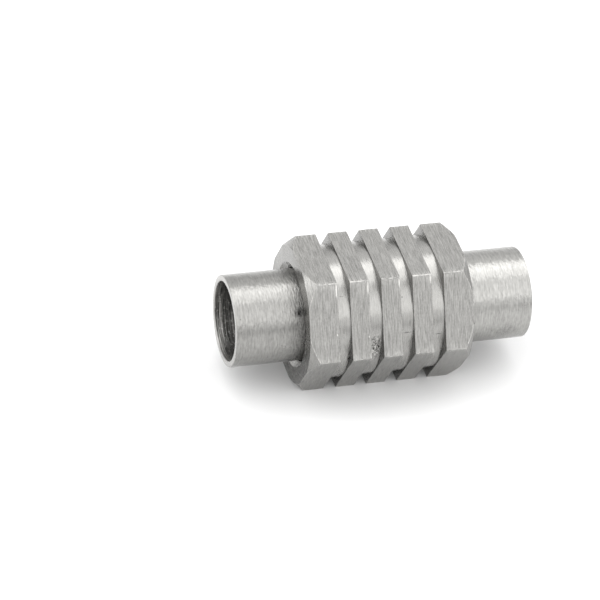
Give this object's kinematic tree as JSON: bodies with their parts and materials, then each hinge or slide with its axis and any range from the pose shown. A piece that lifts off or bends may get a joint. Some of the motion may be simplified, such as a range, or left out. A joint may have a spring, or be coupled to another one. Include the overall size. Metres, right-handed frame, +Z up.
{
  "type": "magnetic cord clasp",
  "caption": "Magnetic clasp for a round cord: a grooved hexagonal steel sleeve with plain tubes at its ends that hold disc magnets. The plug tube pulls out of the sleeve.",
  "frame": {"origin": "middle of the clasp's length, on the flat that it lies on, straight under its axis", "axes": "+X along the clasp's axis towards the fixed tube, -X the way the plug pulls out, +Z up through the top flat of the sleeve"},
  "size_m": [0.02, 0.0102, 0.0088],
  "materials": {
    "sleeve_steel": "stainless steel, flats brushed across the axis, grooves and cones turned bright",
    "tube_steel": "stainless steel, brushed round the tube, bore turned",
    "magnet_nickel": "nickel plating, satin"
  },
  "bodies": {
    "socket": {"hex_sleeve": "sleeve_steel", "socket_tube": "tube_steel", "socket_magnet": "magnet_nickel"},
    "plug": {"plug_tube": "tube_steel", "plug_magnet": "magnet_nickel"}
  },
  "joints": [
    {"name": "plug_slide", "type": "slide", "parent": "socket", "child": "plug", "axis": [-1, 0, 0], "range_m": [0, 0.008]}
  ]
}
